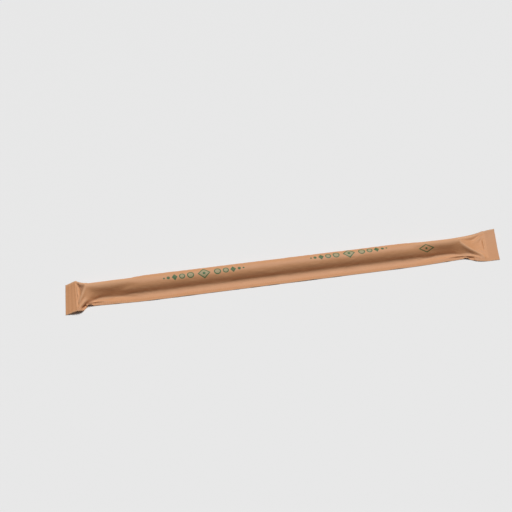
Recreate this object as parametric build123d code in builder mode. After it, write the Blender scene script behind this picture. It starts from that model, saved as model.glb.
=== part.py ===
"""A paper drinking straw sealed in its folded kraft-paper sleeve.

Millimetres. +X runs along the straw, the seamed long edge faces -Y, the folded long edge
faces +Y and +Z is up. The origin is under the middle of the sleeve, on the surface it lies on.
"""

from build123d import *
import math
import os

# The straw inside
straw_diameter = 6.0
straw_length = 197.0

# The paper, folded in two, and its seals
paper = 0.1
sleeve_width = 26.0
seal_thickness = 0.3
edge_seal_width = 3.0
end_seal_length = 6.0
crimp_count = 3
crimp_height = 0.25
corner_press = 0.05  # how much thinner the paper is where the seals cross and it is pressed twice

# The flat paper between the straw's flanks and the long edges, where the two sheets part a little
pocket_thickness = 0.45
front_pocket = 2.1
back_pocket = 0.9

# How far the sleeve runs on past the straw, along its seamed edge
left_tail = 10.5
right_tail = 17.5

# The left end is cut nearly square, and its seal slopes down from the straw to the surface
left_skew = 1.7
left_seal_lift = 2.0

# The right end is cut aslant, and its folded corner stands clear of the surface
right_skew = 7.5
right_slope = 10.0
right_slope_crown = 1.0
right_corner_lift = 2.5

# The paper's highest line, over the straw
crown_height = straw_diameter + 2 * paper
crown_rise = crown_height - pocket_thickness
crown_share = 0.7  # how much of an S-shaped flank's turn the bulging paper over the straw takes


def curve_sum(foot, rise):
    """The sum of the two radii of an S-shaped flank, foot wide and rise high."""
    return (foot**2 + rise**2) / (2 * rise)


def take_up(foot):
    """How much narrower one flank is than the flat paper that it is made of."""
    radii = curve_sum(foot, crown_rise)
    return radii * math.asin(foot / radii) - foot


# The flanks' width: what the pockets and the seam leave, once the straw has drawn the paper in
flange_widths = edge_seal_width + front_pocket + back_pocket
flank = crown_height
for _ in range(30):
    flank = (sleeve_width - flange_widths) / 2 - take_up(flank)

# Places along X, from the left end to the right end of the seamed edge, and reaches in Y
overall_length = left_tail + straw_length + right_tail + right_skew
left_end = -overall_length / 2
left_seal_inner = left_end + end_seal_length
straw_left = left_end + left_tail
straw_right = straw_left + straw_length
right_end = straw_right + right_tail
right_seal_inner = right_end - end_seal_length
end_reach = sleeve_width / 2
long_reach = end_reach - take_up(flank)
straw_y = edge_seal_width + front_pocket + flank - long_reach


def section_plane(front, back):
    """The plane across the sleeve through two bottom edge points, with local X from front to back."""
    across = Vector(*back) - Vector(*front)
    return Plane(origin=front, x_dir=across, z_dir=across.cross(Vector(0, 0, 1)))


def sleeve_section(front, back, rise, seam, pocket):
    """One closed section: a flat bottom, the seam's edge, the step up to the pocket, the paper's
    S-shaped flanks over the straw, and the rounded fold. front and back are its bottom edge points,
    and seam and pocket are its thicknesses at the seam and beside the flanks."""
    width = (Vector(*back) - Vector(*front)).length
    axis = width * (straw_y - front[1]) / (back[1] - front[1])
    fold = width - pocket / 2
    top = (axis, pocket + rise)
    front_foot = (axis - flank, pocket)
    back_foot = (axis + flank, pocket)
    front_turn = (axis - flank * crown_share, top[1] - rise * crown_share)
    back_turn = (axis + flank * crown_share, top[1] - rise * crown_share)
    with BuildSketch(section_plane(front, back)) as section:
        with BuildLine():
            Polyline((0, 0), (0, seam), (edge_seal_width, seam), front_foot)
            TangentArc(front_foot, front_turn, tangent=(1, 0))
            TangentArc(top, front_turn, tangent=(-1, 0))
            TangentArc(top, back_turn, tangent=(1, 0))
            TangentArc(back_foot, back_turn, tangent=(-1, 0))
            Line(back_foot, (fold, pocket))
            ThreePointArc((fold, pocket), (width, pocket / 2), (fold, 0))
            Line((fold, 0), (0, 0))
        make_face()
    return section.sketch


def end_seal(outer, inner):
    """Sections of a crimped end seal, from its outer to its inner edge points: each crimp
    is a ridge that runs across the sleeve."""
    sections = []
    steps = 2 * crimp_count
    for step in range(steps + 1):
        along = step / steps
        front, back = [
            tuple(a + (b - a) * along for a, b in zip(start, finish))
            for start, finish in zip(outer, inner)
        ]
        pressed = seal_thickness + (crimp_height if step % 2 else 0)
        corner = pressed - corner_press
        sections.append(sleeve_section(front, back, paper, corner, pressed))
    return sections


def edge_points(x, reach, skew=0.0, front_lift=0.0, back_lift=0.0):
    """The front and back bottom edge points of a section at x."""
    return (x, -reach, front_lift), (x + skew, reach, back_lift)


# The sealed left end, from its cut edge inwards
left_seal = end_seal(
    edge_points(left_end, end_reach, left_skew),
    edge_points(left_seal_inner, end_reach, left_skew, left_seal_lift, left_seal_lift),
)

# The long middle, with the straw's full height under the paper from end to end
middle = [
    sleeve_section(
        *edge_points(x, long_reach), crown_rise, seal_thickness, pocket_thickness
    )
    for x in (straw_left, straw_right)
]

# The slope down past the straw's right end, where the paper is still a little open
slope_share = right_slope / (right_seal_inner - straw_right)
slope_section = sleeve_section(
    *edge_points(
        straw_right + right_slope,
        long_reach + (end_reach - long_reach) * slope_share,
        right_skew * slope_share,
        back_lift=right_corner_lift * slope_share / 2,
    ),
    right_slope_crown,
    seal_thickness,
    pocket_thickness,
)

# The sealed right end, from its cut edge inwards
right_seal = end_seal(
    edge_points(right_end, end_reach, right_skew, back_lift=right_corner_lift),
    edge_points(right_seal_inner, end_reach, right_skew, back_lift=right_corner_lift / 2),
)

with BuildPart() as wrapped_straw:
    loft(sections=left_seal + middle + [slope_section] + right_seal[::-1], ruled=True)

os.makedirs("parts", exist_ok=True)
wrapped_straw.part.label = "wrapped_straw"
export_step(wrapped_straw.part, "parts/wrapped_straw.step")
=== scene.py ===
"""A wrapped drinking straw: kraft paper folded over a paper straw, knurled shut along one edge and crimped at both ends.

The paper is worked out flat, in millimetres, and then relaxed over the straw as an inextensible sheet.
"""

import bpy
import numpy as np
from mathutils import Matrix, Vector


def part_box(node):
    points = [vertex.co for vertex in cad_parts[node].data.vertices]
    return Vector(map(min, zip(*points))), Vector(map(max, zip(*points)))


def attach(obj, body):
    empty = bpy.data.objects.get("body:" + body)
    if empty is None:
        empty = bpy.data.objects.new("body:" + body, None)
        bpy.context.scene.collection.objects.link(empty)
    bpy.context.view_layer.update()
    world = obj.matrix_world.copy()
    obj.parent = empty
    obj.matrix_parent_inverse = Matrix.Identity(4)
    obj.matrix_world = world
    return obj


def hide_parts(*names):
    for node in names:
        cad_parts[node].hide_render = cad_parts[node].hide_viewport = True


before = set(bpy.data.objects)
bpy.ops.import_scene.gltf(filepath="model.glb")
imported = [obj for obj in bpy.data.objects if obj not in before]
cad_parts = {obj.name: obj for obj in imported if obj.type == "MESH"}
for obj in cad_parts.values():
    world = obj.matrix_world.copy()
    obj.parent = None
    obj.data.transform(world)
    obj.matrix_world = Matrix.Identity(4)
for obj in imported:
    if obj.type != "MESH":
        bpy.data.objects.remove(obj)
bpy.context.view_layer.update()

MM = 0.001  # metres in a millimetre

# The straw inside
STRAW_RADIUS = 3.0
STRAW_LENGTH = 197.0

# The folded paper, flat
PAPER = 0.1
FLAT_WIDTH = 26.0
EDGE_SEAL = 3.0
END_SEAL = 6.0
FRONT_FLANGE = 5.1
BACK_FLANGE = 0.9
BULGE_SHARE = 0.78
LEFT_TAIL = 12.5
RIGHT_TAIL = 18.4
LEFT_SKEW = 1.7
RIGHT_SKEW = 7.5

# How it lies: the straw draws the tails in, lifts the left seal's inner edge and the right end's folded corner
LEFT_TAIL_RUN = 10.5
LEFT_SEAL_RUN = 5.7
RIGHT_TAIL_RUN = 17.5
LEFT_LIFT = 2.0
RIGHT_LIFT = 2.5

# How much shorter the long edges are than the paper over the straw, and over what length
LEFT_GATHER = 0.8
RIGHT_GATHER = 1.0
GATHER_REACH = 24.0

# What the sealing jaws press into the paper
CRIMP_COUNT = 3
LEFT_CRIMP = 0.04
RIGHT_CRIMP = 0.02
KNURL_PITCH = 1.0
KNURL_RISE = 1.5
KNURL_HEIGHT = 0.1
RIPPLE = 0.3
POCKET = 0.7

# How finely the finished surface is divided
ROW_CELLS = 1140
SEAM_CELLS = 8
SHEET_CELLS = 33
UV_UNIT = 100.0

# The print: the middles of two ornaments and of the small mark, and the line that they run along
LABELS = (72.5, 148.8)
END_MARK = 190.4
PRINT_LINE = 11.7
END_MARK_LINE = 11.8
PRINT_SLANT = 0.018
INK_SOFTNESS = 0.16

# Colours, as linear light
PAPER_LIGHT = (0.68, 0.35, 0.175, 1)
PAPER_DARK = (0.56, 0.26, 0.115, 1)
PAPER_WARM = (0.65, 0.31, 0.14, 1)
PAPER_FLECK = (0.33, 0.17, 0.085, 1)
# Darker sealed strips: pressed paper's own tone, and partly painted shade for the front seam strip
SEAL_TONE_AND_SHADE = (0.47, 0.22, 0.10, 1)
PAPER_WORN = (0.74, 0.48, 0.30, 1)
INK_GREEN = (0.014, 0.115, 0.030, 1)
INK_PALE = (0.31, 0.31, 0.17, 1)

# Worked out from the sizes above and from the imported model's box
LEFT_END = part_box("wrapped_straw")[0].x / MM
FRONT_LENGTH = LEFT_TAIL + STRAW_LENGTH + RIGHT_TAIL
STRAW_START = LEFT_TAIL
STRAW_END = LEFT_TAIL + STRAW_LENGTH
FLANK_PAPER = (FLAT_WIDTH - FRONT_FLANGE - BACK_FLANGE) / 2
STRAW_X = LEFT_END + LEFT_TAIL_RUN + STRAW_LENGTH / 2
STRAW_Y = FRONT_FLANGE + FLANK_PAPER - FLAT_WIDTH / 2
STRAW_Z = STRAW_RADIUS + PAPER
CROWN = 2 * STRAW_RADIUS + PAPER


# ---------------------------------------------------------------- the flat web


def ramp(t):
    """0 to 1, with level ends."""
    t = np.clip(t, 0, 1)
    return t * t * (3 - 2 * t)


def web_rows(step, middle_step):
    """Distances along the seamed edge: fine over both ends, coarser over the long middle."""
    fine = 30.0
    left = np.linspace(0, fine, round(fine / step) + 1)
    middle = np.linspace(fine, FRONT_LENGTH - fine, round((FRONT_LENGTH - 2 * fine) / middle_step) + 1)
    return np.concatenate([left[:-1], middle[:-1], FRONT_LENGTH - left[::-1]])


def web_columns(per_sheet):
    """Distances across the web: the upper sheet from the seam to the fold, then the lower one back to the seam."""
    across = np.linspace(0, FLAT_WIDTH, per_sheet + 1)
    return np.concatenate([across, 2 * FLAT_WIDTH - across[::-1][1:]])


def from_seam(across):
    """How far from the seamed edge a place on the web is, on either sheet."""
    return np.minimum(across, 2 * FLAT_WIDTH - across)


def flat_along(rows, columns):
    """Where each point of the flat web is along the sleeve: the end cuts slant, and the middle is square."""
    share = from_seam(columns)[None, :] / FLAT_WIDTH
    left = LEFT_SKEW * (1 - ramp(rows / STRAW_START))
    right = RIGHT_SKEW * ramp((rows - STRAW_END) / (FRONT_LENGTH - END_SEAL - STRAW_END))
    return rows[:, None] + (left + right)[:, None] * share


# ---------------------------------------------------------------- the paper before it is relaxed


def crown_rise(rows):
    """Height of the upper sheet over the straw's axis at each row."""
    left = ramp((rows - END_SEAL) / (STRAW_START - END_SEAL))
    right = ramp((FRONT_LENGTH - END_SEAL - rows) / (FRONT_LENGTH - END_SEAL - STRAW_END))
    return np.maximum(CROWN * np.minimum(left, right), 0.01)


def flank_plan(rise):
    """How wide a flank made of FLANK_PAPER is, seen from above, when it climbs by rise."""
    plan = np.full_like(rise, FLANK_PAPER)
    for _ in range(40):
        radii = (plan**2 + rise**2) / (2 * rise)
        plan = plan + 0.7 * (FLANK_PAPER - radii * np.arcsin(np.clip(plan / radii, 0, 1)))
    return plan


def flank_height(distance, plan, rise):
    """Plan distance and height on an S-shaped flank at a distance along the paper from the crown."""
    radii = (plan**2 + rise**2) / (2 * rise)
    inner, outer = radii * BULGE_SHARE, radii * (1 - BULGE_SHARE)
    turn = np.arcsin(np.clip(plan / radii, 0, 1))
    convex = np.minimum(distance / inner, turn)
    concave = np.clip((FLANK_PAPER - distance) / outer, 0, turn)
    on_crown = distance / inner <= turn
    out = np.where(on_crown, inner * np.sin(convex), plan - outer * np.sin(concave))
    up = np.where(on_crown, rise - inner * (1 - np.cos(convex)), outer * (1 - np.cos(concave)))
    return out, up


def laid_paper(rows, columns):
    """The web folded over the straw with S-shaped flanks, before it is relaxed."""
    rise = crown_rise(rows)[:, None]
    plan = flank_plan(rise)
    front = -(FRONT_FLANGE + 2 * plan + BACK_FLANGE) / 2
    back = -front
    axis = front + FRONT_FLANGE + plan
    across = columns[None, :]
    signed = across - FRONT_FLANGE - FLANK_PAPER
    out, up = flank_height(np.minimum(np.abs(signed), FLANK_PAPER), plan, rise)
    upper_y = axis + np.sign(signed) * out
    upper_y = np.where(across < FRONT_FLANGE, front + across, upper_y)
    upper_y = np.where(across > FLAT_WIDTH - BACK_FLANGE, back - (FLAT_WIDTH - across), upper_y)
    lower_share = (2 * FLAT_WIDTH - across) / FLAT_WIDTH
    lower_y = front + (back - front) * lower_share
    is_upper = across <= FLAT_WIDTH
    shape = np.zeros((len(rows), len(columns), 3))
    shape[..., 0] = lie_along(rows)[:, None] + flat_along(rows, columns) - rows[:, None]
    shape[..., 1] = np.where(is_upper, upper_y, lower_y)
    open_pocket = POCKET * ramp((across - EDGE_SEAL) / 3.0) * np.minimum(rise / CROWN, 1) * (1 - up / rise)
    shape[..., 2] = PAPER / 2 + np.where(is_upper, up + open_pocket, 0.0) + lift(rows, columns)
    return shape


def lie_along(rows):
    """Where each row lies along X once the straw has drawn the tails in."""
    flat = [0, END_SEAL, STRAW_START, STRAW_END, FRONT_LENGTH - END_SEAL, FRONT_LENGTH]
    run = [0, LEFT_SEAL_RUN, LEFT_TAIL_RUN, LEFT_TAIL_RUN + STRAW_LENGTH]
    run += [run[-1] + RIGHT_TAIL_RUN - END_SEAL, run[-1] + RIGHT_TAIL_RUN]
    return LEFT_END + np.interp(rows, flat, run)


def lift(rows, columns):
    """How far both sheets stand off the surface: the left seal's inner edge, and the right end's folded corner."""
    share = from_seam(columns)[None, :] / FLAT_WIDTH
    up = np.clip(rows / END_SEAL, 0, 1) * (1 - ramp((rows - END_SEAL) / (STRAW_START - END_SEAL)))
    left = LEFT_LIFT * up[:, None] * (0.8 + 0.2 * share)
    right = RIGHT_LIFT * ramp((rows - STRAW_END) / RIGHT_TAIL)[:, None] * share**2
    return left + right


def flat_web(rows, columns, laid):
    """The flat pattern whose lengths the relaxed paper keeps. The lower sheet is cut to its laid width,
    and the long edges are a little gathered beside the straw's ends."""
    across = np.repeat(columns[None, :], len(rows), 0)
    width = laid[:, len(columns) // 2, 1] - laid[:, 0, 1]
    lower = FLAT_WIDTH + (columns[None, :] - FLAT_WIDTH) / FLAT_WIDTH * width[:, None]
    across = np.where(columns[None, :] > FLAT_WIDTH, lower, across)
    off_crown = np.abs(from_seam(columns) - FRONT_FLANGE - FLANK_PAPER) / FLANK_PAPER
    edge = np.where(columns > FLAT_WIDTH, 1.0, ramp(off_crown))[None, :]
    left = LEFT_GATHER * (1 - ramp((rows - END_SEAL) / GATHER_REACH))[:, None]
    right = RIGHT_GATHER * ramp((rows - FRONT_LENGTH + END_SEAL + GATHER_REACH) / GATHER_REACH)[:, None]
    return np.stack([flat_along(rows, columns) + (left - right) * edge, across], -1)


# ---------------------------------------------------------------- relaxing it


def links(count_rows, count_columns, down, over, flat, set_shape=None):
    """Index pairs (down, over) apart with their rest lengths, in groups that share no point."""
    index = np.arange(count_rows * count_columns).reshape(count_rows, count_columns)
    rows, columns = np.meshgrid(np.arange(count_rows), np.arange(count_columns), indexing="ij")
    low = max(0, -over)
    first = (slice(0, count_rows - down), slice(low, count_columns - max(0, over)))
    second = (slice(down, None), slice(low + over, count_columns - max(0, over) + over))
    a, b = index[first].ravel(), index[second].ravel()
    stride = down if down else over
    along = (rows if down else columns)[first].ravel()
    source = flat if set_shape is None else set_shape
    source = source.reshape(-1, source.shape[-1])
    rest = np.linalg.norm(source[a] - source[b], axis=-1)
    group = (along // stride) % 2 if stride > 1 else along % 2
    group = group * stride + (along % stride)
    return [(a[group == g], b[group == g], rest[group == g]) for g in np.unique(group)]


def relax(rows, columns, laid, rounds):
    """Lets the web settle over the straw and the surface: lengths in the paper stay, bends ease."""
    flat = flat_web(rows, columns, laid)
    size = (len(rows), len(columns))
    across = from_seam(columns)[None, :]
    along = rows[:, None]
    sealed = (across <= EDGE_SEAL) | (along <= END_SEAL) | (along >= FRONT_LENGTH - END_SEAL)
    bends = links(*size, 0, 2, flat, laid) + links(*size, 2, 0, flat)
    ribs = links(*size, 0, 4, flat) + links(*size, 4, 0, flat)
    ribs = [tuple(part[sealed.ravel()[a] & sealed.ravel()[b]] for part in (a, b, rest)) for a, b, rest in ribs]
    shears = links(*size, 1, 1, flat) + links(*size, 1, -1, flat)
    stretches = links(*size, 0, 1, flat) + links(*size, 1, 0, flat)
    stiff = [(ribs, 0.5, False), (bends, 0.3, True), (shears, 0.9, False), (stretches, 1.0, False)]
    inside = np.minimum(rows - STRAW_START, STRAW_END - rows)
    outside = np.maximum(END_SEAL - rows, rows - FRONT_LENGTH + END_SEAL)
    held = (0.05 * ramp((inside - 20) / 20) + 0.2 * ramp(outside / 2 + 1))[:, None, None]
    paper = laid + np.random.default_rng(5).normal(0, 0.02, laid.shape)
    pace = np.zeros_like(paper)
    for _ in range(rounds):
        before = paper.copy()
        paper = paper + pace
        points = paper.reshape(-1, 3)
        for group, stiffness, creases in stiff:
            for a, b, rest in group:
                gap = points[b] - points[a]
                length = np.sqrt((gap * gap).sum(-1))
                pull = 0.5 * stiffness * (length - rest) / np.maximum(length, 1e-9)
                if creases:
                    pull *= np.clip((length / rest - 0.92) / 0.06, 0.05, 1)
                shift = pull[:, None] * gap
                points[a] += shift
                points[b] -= shift
        paper = points.reshape(paper.shape)
        joined = (paper + paper[:, ::-1]) / 2
        paper[sealed] = joined[sealed]
        paper += (laid - paper) * held
        paper[..., 2] -= 0.0015
        keep_apart(paper)
        pace = (paper - before) * 0.9
    return paper


def keep_apart(paper):
    """Lifts the upper sheet off the lower one, and both out of the straw and the surface."""
    half = paper.shape[1] // 2
    upper, lower = paper[:, :half], paper[:, ::-1][:, :half]
    crossed = np.maximum(lower[..., 2] - upper[..., 2], 0) / 2
    upper[..., 2] += crossed
    lower[..., 2] -= crossed
    clear = PAPER / 2
    y = paper[..., 1] - STRAW_Y
    z = paper[..., 2] - STRAW_Z
    radius = np.sqrt(y * y + z * z) + 1e-9
    from_middle = paper[..., 0] - STRAW_X
    past_side = STRAW_RADIUS + clear - radius
    past_end = STRAW_LENGTH / 2 + clear - np.abs(from_middle)
    within = (past_side > 0) & (past_end > 0)
    push = np.where(within & (past_side <= past_end), past_side / radius, 0)
    paper[..., 1] += y * push
    paper[..., 2] += z * push
    slide = np.where(within & (past_side > past_end), past_end, 0)
    paper[..., 0] += np.sign(from_middle) * slide
    paper[..., 2] = np.maximum(paper[..., 2], clear)


# ---------------------------------------------------------------- the fine surface


def blend_weights(knots, at):
    """Weights that carry values at the knots to the places asked for, on a smooth curve through them."""
    cell = np.clip(np.searchsorted(knots, at, side="right") - 1, 0, len(knots) - 2)
    span = knots[cell + 1] - knots[cell]
    t = (at - knots[cell]) / span
    slope = np.zeros((len(knots), len(knots)))
    for k in range(len(knots)):
        low, high = max(k - 1, 0), min(k + 1, len(knots) - 1)
        slope[k, high] += 1 / (knots[high] - knots[low])
        slope[k, low] -= 1 / (knots[high] - knots[low])
    weights = np.zeros((len(at), len(knots)))
    row = np.arange(len(at))
    weights[row, cell] = 2 * t**3 - 3 * t**2 + 1
    weights[row, cell + 1] = 3 * t**2 - 2 * t**3
    weights += ((t**3 - 2 * t**2 + t) * span)[:, None] * slope[cell]
    weights += ((t**3 - t**2) * span)[:, None] * slope[cell + 1]
    return weights


def normals(paper):
    """Unit normals of the web, out of the sleeve."""
    along = np.gradient(paper, axis=0)
    across = np.gradient(paper, axis=1)
    normal = np.cross(along, across)
    return normal / np.maximum(np.linalg.norm(normal, axis=-1, keepdims=True), 1e-12)


def soft_noise(rng, rows, columns, row_step, column_step):
    """Smooth random heights, about -1 to 1, over the web."""
    row_knots = np.arange(-row_step, rows[-1] + 2 * row_step, row_step)
    column_knots = np.arange(-column_step, 2 * FLAT_WIDTH + 2 * column_step, column_step)
    heights = rng.uniform(-1, 1, (len(row_knots), len(column_knots)))
    return blend_weights(row_knots, rows) @ heights @ blend_weights(column_knots, columns).T


def pressed_pattern(rows, columns):
    """Relief that the sealing jaws leave: crimps across both ends and a diamond knurl along the seam.
    It is the same on both sheets, so it moves them up and down together."""
    across = from_seam(columns)[None, :]
    from_end = np.minimum(rows, FRONT_LENGTH - rows)[:, None]
    depth = np.where(rows < FRONT_LENGTH / 2, LEFT_CRIMP, RIGHT_CRIMP)[:, None]
    ends = ramp((END_SEAL - from_end) / 0.6)
    crimps = depth * np.cos(2 * np.pi * from_end * CRIMP_COUNT / END_SEAL) * ends
    seam = ramp((EDGE_SEAL - across) / 0.5)
    one = rows[:, None] / KNURL_PITCH + across / KNURL_RISE
    other = rows[:, None] / KNURL_PITCH - across / KNURL_RISE
    knurl = KNURL_HEIGHT * np.cos(np.pi * one) * np.cos(np.pi * other) * seam * (1 - 0.7 * ends)
    return crimps + knurl, np.maximum(ends, seam)


def crease_strength(normal, rows):
    """0 on smooth paper to 1 along a sharp crease, from how fast the normals turn."""
    turn = np.zeros(normal.shape[:2])
    for axis in (0, 1):
        step = 2
        ahead, behind = np.roll(normal, -step, axis), np.roll(normal, step, axis)
        turn = np.maximum(turn, np.arccos(np.clip((ahead * behind).sum(-1), -1, 1)))
    return np.clip((turn - 0.5) / 0.6, 0, 1)


def fine_columns():
    """Columns of the finished surface, closer together over the seam."""
    seam = np.linspace(0, EDGE_SEAL, SEAM_CELLS + 1)
    sheet = np.linspace(EDGE_SEAL, FLAT_WIDTH, SHEET_CELLS + 1)
    across = np.concatenate([seam[:-1], sheet])
    return np.concatenate([across, 2 * FLAT_WIDTH - across[::-1][1:]])


def web_faces(count_rows, count_columns):
    """Faces of the web and of the cut edges that close it: along the seam and across both ends."""
    index = np.arange(count_rows * count_columns).reshape(count_rows, count_columns)
    web = np.stack([index[:-1, :-1], index[1:, :-1], index[1:, 1:], index[:-1, 1:]], -1)
    seam = np.stack([index[1:, 0], index[:-1, 0], index[:-1, -1], index[1:, -1]], -1)
    faces = web.reshape(-1, 4).tolist() + seam.tolist()
    half = count_columns // 2
    for row, outward in ((0, 1), (count_rows - 1, -1)):
        upper, lower = index[row, : half + 1], index[row, ::-1][: half + 1]
        for k in range(half):
            loop = [upper[k], upper[k + 1], lower[k + 1], lower[k]][::outward]
            faces.append([int(v) for v in dict.fromkeys(loop)])
    return faces


def sleeve_mesh(name, paper, flat, marks):
    """A closed mesh of the sleeve's outside, with the flat paper's coordinates and its marks for the material."""
    mesh = bpy.data.meshes.new(name)
    mesh.from_pydata((paper.reshape(-1, 3) * MM).tolist(), [], web_faces(*paper.shape[:2]))
    corner = np.zeros(len(mesh.loops), int)
    mesh.loops.foreach_get("vertex_index", corner)
    layer = mesh.uv_layers.new(name="flat")
    layer.data.foreach_set("uv", (flat.reshape(-1, 2)[corner] / UV_UNIT).ravel())
    for mark, values in marks.items():
        mesh.attributes.new(mark, "FLOAT", "POINT").data.foreach_set("value", values.ravel())
    mesh.polygons.foreach_set("use_smooth", np.ones(len(mesh.polygons), bool))
    mesh.update()
    piece = bpy.data.objects.new(name, mesh)
    bpy.context.scene.collection.objects.link(piece)
    return piece


def make_sleeve():
    """The relaxed paper, refined, pressed and given its thickness."""
    rows, columns = web_rows(0.6, 2.4), web_columns(38)
    paper = relax(rows, columns, laid_paper(rows, columns), 900)
    many_rows, many_columns = np.linspace(0, FRONT_LENGTH, ROW_CELLS + 1), fine_columns()
    to_rows, to_columns = blend_weights(rows, many_rows), blend_weights(columns, many_columns)
    paper = np.einsum("ri,ijk,cj->rck", to_rows, paper, to_columns)
    rng = np.random.default_rng(11)
    normal = normals(paper)
    crease = crease_strength(normal, many_rows)
    relief, seal = pressed_pattern(many_rows, many_columns)
    upward = np.where(many_columns[None, :, None] > FLAT_WIDTH, -normal, normal)
    dents = 0.05 * soft_noise(rng, many_rows, many_columns, 7.0, 2.2)
    dents += 0.02 * soft_noise(rng, many_rows, many_columns, 2.5, 1.4)
    ripple = RIPPLE * np.maximum(soft_noise(rng, many_rows, many_columns, 4.0, 9.0), 0)
    ripple *= ramp(1 - from_seam(many_columns) / (EDGE_SEAL + 1.5))[None, :]
    paper[..., 2] += ripple
    paper = paper + upward * relief[..., None] + normal * (PAPER + dents * (1 - seal))[..., None]
    flat = np.stack([flat_along(many_rows, many_columns), np.repeat(many_columns[None], len(many_rows), 0)], -1)
    return sleeve_mesh("paper_sleeve", paper, flat, {"seal": seal, "crease": crease})


# ---------------------------------------------------------------- materials


class Pattern:
    """Short ways to add the nodes of a material's pattern."""

    def __init__(self, material):
        material.use_nodes = True
        self.tree = material.node_tree
        self.shader = self.tree.nodes["Principled BSDF"]

    def node(self, kind, values=(), **settings):
        node = self.tree.nodes.new(kind)
        for name, value in settings.items():
            setattr(node, name, value)
        for name, value in dict(values).items():
            self.feed(node.inputs[name], value)
        return node

    def feed(self, socket, value):
        if isinstance(value, bpy.types.NodeSocket):
            self.tree.links.new(value, socket)
        else:
            socket.default_value = value

    def math(self, operation, *values, clamp=False):
        return self.node("ShaderNodeMath", enumerate(values), operation=operation, use_clamp=clamp).outputs[0]

    def most(self, values):
        """The largest of several fields."""
        result = values[0]
        for value in values[1:]:
            result = self.math("MAXIMUM", result, value)
        return result

    def mix(self, share, first, second):
        node = self.node("ShaderNodeMix", data_type="RGBA", blend_type="MIX")
        self.feed(node.inputs["Factor"], share)
        self.feed(node.inputs["A"], first)
        self.feed(node.inputs["B"], second)
        return node.outputs["Result"]

    def noise(self, vector, scale, detail=3.0, roughness=0.5):
        values = {"Vector": vector, "Scale": scale, "Detail": detail, "Roughness": roughness}
        return self.node("ShaderNodeTexNoise", values).outputs["Fac"]

    def spread(self, value, low, high, to_low=0.0, to_high=1.0):
        values = {"Value": value, "From Min": low, "From Max": high, "To Min": to_low, "To Max": to_high}
        return self.node("ShaderNodeMapRange", values, clamp=True).outputs["Result"]

    def mark(self, name):
        return self.node("ShaderNodeAttribute", attribute_name=name, attribute_type="GEOMETRY").outputs["Fac"]

    def combine(self, x, y, z=0.0):
        return self.node("ShaderNodeCombineXYZ", {"X": x, "Y": y, "Z": z}).outputs[0]


class Ornament:
    """Flexo-printed fields on the flat paper, in millimetres, from signed distances."""

    def __init__(self, pattern, along, across):
        self.pattern, self.along, self.across = pattern, along, across

    def offset(self, place):
        """Distance along the paper from a place."""
        return self.pattern.math("ABSOLUTE", self.pattern.math("SUBTRACT", self.along, place))

    def inked(self, distance):
        """1 inside a shape, 0 outside, with the soft edge of print on rough paper."""
        return self.pattern.spread(distance, -INK_SOFTNESS / 2, INK_SOFTNESS / 2, 1.0, 0.0)

    def disc(self, x, radius):
        square = self.pattern.math("ADD", self.pattern.math("POWER", x, 2.0), self.pattern.math("POWER", self.across, 2.0))
        return self.pattern.math("SUBTRACT", self.pattern.math("SQRT", square), radius)

    def lozenge(self, x, half_length, half_width):
        sides = self.pattern.math(
            "ADD",
            self.pattern.math("DIVIDE", x, half_length),
            self.pattern.math("DIVIDE", self.pattern.math("ABSOLUTE", self.across), half_width),
        )
        scale = half_length * half_width / (half_length**2 + half_width**2) ** 0.5
        return self.pattern.math("MULTIPLY", self.pattern.math("SUBTRACT", sides, 1.0), scale)

    def outline(self, distance, stroke):
        """A line of that width just inside a shape's edge."""
        middle = self.pattern.math("ABSOLUTE", self.pattern.math("ADD", distance, stroke / 2))
        return self.pattern.math("SUBTRACT", middle, stroke / 2)


def printed(pattern, along, across):
    """Green and pale ink on the paper: a symmetrical chain about each label's middle, and a small end mark."""
    drift = pattern.math("MULTIPLY_ADD", along, PRINT_SLANT, PRINT_LINE)
    line = pattern.math("SUBTRACT", across, drift)
    page = Ornament(pattern, along, line)
    between = page.offset((LABELS[0] + LABELS[1]) / 2)
    from_label = pattern.math("ABSOLUTE", pattern.math("SUBTRACT", between, (LABELS[1] - LABELS[0]) / 2))
    outlined = [page.lozenge(from_label, 3.3, 3.1)]
    for place, radius in ((6.9, 1.8), (11.2, 1.55)):
        outlined.append(page.disc(chain_offset(pattern, from_label, place), radius))
    solid = [page.disc(from_label, 0.75)]
    solid.append(page.lozenge(chain_offset(pattern, from_label, 15.0), 1.5, 1.9))
    for place, radius in ((18.2, 0.85), (20.4, 0.5)):
        solid.append(page.disc(chain_offset(pattern, from_label, place), radius))
    corner = Ornament(pattern, along, pattern.math("SUBTRACT", across, END_MARK_LINE))
    from_mark = corner.offset(END_MARK)
    solid.append(corner.outline(corner.lozenge(from_mark, 4.4, 2.4), 0.5))
    solid.append(corner.disc(from_mark, 0.6))
    green = [page.inked(page.outline(shape, 0.5)) for shape in outlined] + [page.inked(shape) for shape in solid]
    return pattern.most(green), pattern.most([page.inked(shape) for shape in outlined])


def chain_offset(pattern, from_label, place):
    return pattern.math("ABSOLUTE", pattern.math("SUBTRACT", from_label, place))


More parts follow.
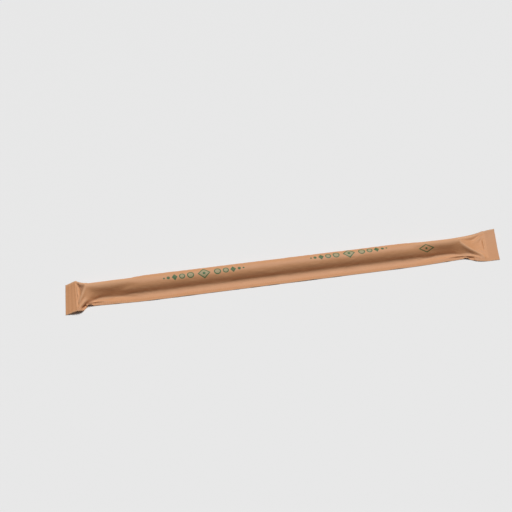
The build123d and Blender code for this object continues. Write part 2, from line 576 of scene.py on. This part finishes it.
def kraft_paper():
    """Unbleached kraft paper with a slight machine gloss, long fibres, print, and pressed seals that are painted
    darker: partly their own tone, partly painted shade.
    """
    material = bpy.data.materials.new("kraft_paper")
    pattern = Pattern(material)
    flat = pattern.node("ShaderNodeUVMap", uv_map="flat").outputs["UV"]
    split = pattern.node("ShaderNodeSeparateXYZ", {"Vector": flat})
    along = pattern.math("MULTIPLY", split.outputs["X"], UV_UNIT)
    across = pattern.math("MULTIPLY", split.outputs["Y"], UV_UNIT)
    grain = pattern.combine(pattern.math("MULTIPLY", along, 0.16), across)
    fibres = pattern.noise(grain, 2.6, 5.0, 0.65)
    cross = pattern.combine(along, pattern.math("MULTIPLY", across, 0.3))
    tangle = pattern.noise(cross, 1.9, 4.0, 0.6)
    cloud = pattern.noise(pattern.combine(along, across), 0.14, 3.0, 0.5)
    flecks = pattern.spread(pattern.noise(grain, 7.0, 1.0), 0.70, 0.78)
    tone = pattern.spread(fibres, 0.3, 0.7)
    colour = pattern.mix(tone, PAPER_DARK, PAPER_LIGHT)
    colour = pattern.mix(pattern.spread(tangle, 0.35, 0.75, 0.0, 0.35), colour, PAPER_WARM)
    colour = pattern.mix(pattern.spread(cloud, 0.35, 0.7, 0.0, 0.3), colour, PAPER_DARK)
    colour = pattern.mix(pattern.math("MULTIPLY", flecks, 0.3), colour, PAPER_FLECK)
    seal, crease = pattern.mark("seal"), pattern.mark("crease")
    # Painted shade, in part: the sealed strips are darkened, so the front seam strip carries shade along with the
    # pressed paper's tone
    colour = pattern.mix(pattern.math("MULTIPLY", seal, 0.35), colour, SEAL_TONE_AND_SHADE)
    colour = pattern.mix(pattern.math("MULTIPLY", crease, 0.3), colour, PAPER_WORN)
    green, pale = printed(pattern, along, across)
    cover = pattern.spread(tangle, 0.3, 0.55, 0.72, 0.95)
    colour = pattern.mix(pattern.math("MULTIPLY", pale, 0.75), colour, INK_PALE)
    colour = pattern.mix(pattern.math("MULTIPLY", green, cover), colour, INK_GREEN)
    pattern.feed(pattern.shader.inputs["Base Color"], colour)
    rough = pattern.spread(fibres, 0.3, 0.7, 0.50, 0.62)
    rough = pattern.math("ADD", rough, pattern.math("MULTIPLY", crease, 0.15))
    pattern.feed(pattern.shader.inputs["Roughness"], rough)
    pattern.shader.inputs["Specular IOR Level"].default_value = 0.3
    heights = pattern.math("MULTIPLY_ADD", tangle, 0.6, fibres)
    bump = pattern.node("ShaderNodeBump", {"Height": heights, "Distance": 0.00004, "Strength": 0.5})
    pattern.feed(pattern.shader.inputs["Normal"], bump.outputs["Normal"])
    return material


sleeve = make_sleeve()
sleeve.data.materials.append(kraft_paper())
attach(sleeve, "root")
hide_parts("wrapped_straw")


# ---------------------------------------------------------------- floor, light and camera


def make_floor():
    bpy.ops.mesh.primitive_plane_add(size=6.0, location=(0, 0, 0))
    floor = bpy.context.object
    floor.name = "floor"
    material = bpy.data.materials.new("floor")
    material.use_nodes = True
    shader = material.node_tree.nodes["Principled BSDF"]
    shader.inputs["Base Color"].default_value = (0.8, 0.8, 0.8, 1)
    shader.inputs["Roughness"].default_value = 0.9
    floor.data.materials.append(material)


def make_sun(name, direction, strength, angle):
    light = bpy.data.lights.new(name, "SUN")
    light.energy = strength
    light.angle = angle
    lamp = bpy.data.objects.new(name, light)
    lamp.rotation_euler = Vector(direction).to_track_quat("Z", "Y").to_euler()
    bpy.context.scene.collection.objects.link(lamp)


def make_camera():
    data = bpy.data.cameras.new("camera")
    camera = bpy.data.objects.new("camera", data)
    data.lens = 75.4
    data.sensor_width = 36.0
    data.clip_start = 0.01
    data.clip_end = 20
    azimuth, elevation = np.radians(-12.6), np.radians(33.0)
    look = Vector((-np.sin(azimuth) * np.cos(elevation), np.cos(azimuth) * np.cos(elevation), -np.sin(elevation)))
    camera.location = Vector((-0.118, -0.443, 0.307))
    camera.rotation_euler = look.to_track_quat("-Z", "Y").to_euler()
    bpy.context.scene.collection.objects.link(camera)
    bpy.context.scene.camera = camera


make_floor()
make_sun("key", (0.2, 0.34, 0.92), 2.95, 0.7)
world = bpy.data.worlds.new("studio")
bpy.context.scene.world = world
world.use_nodes = True
world.node_tree.nodes["Background"].inputs["Color"].default_value = (1, 1, 1, 1)
world.node_tree.nodes["Background"].inputs["Strength"].default_value = 0.14
make_camera()
bpy.context.scene.view_settings.view_transform = "Standard"
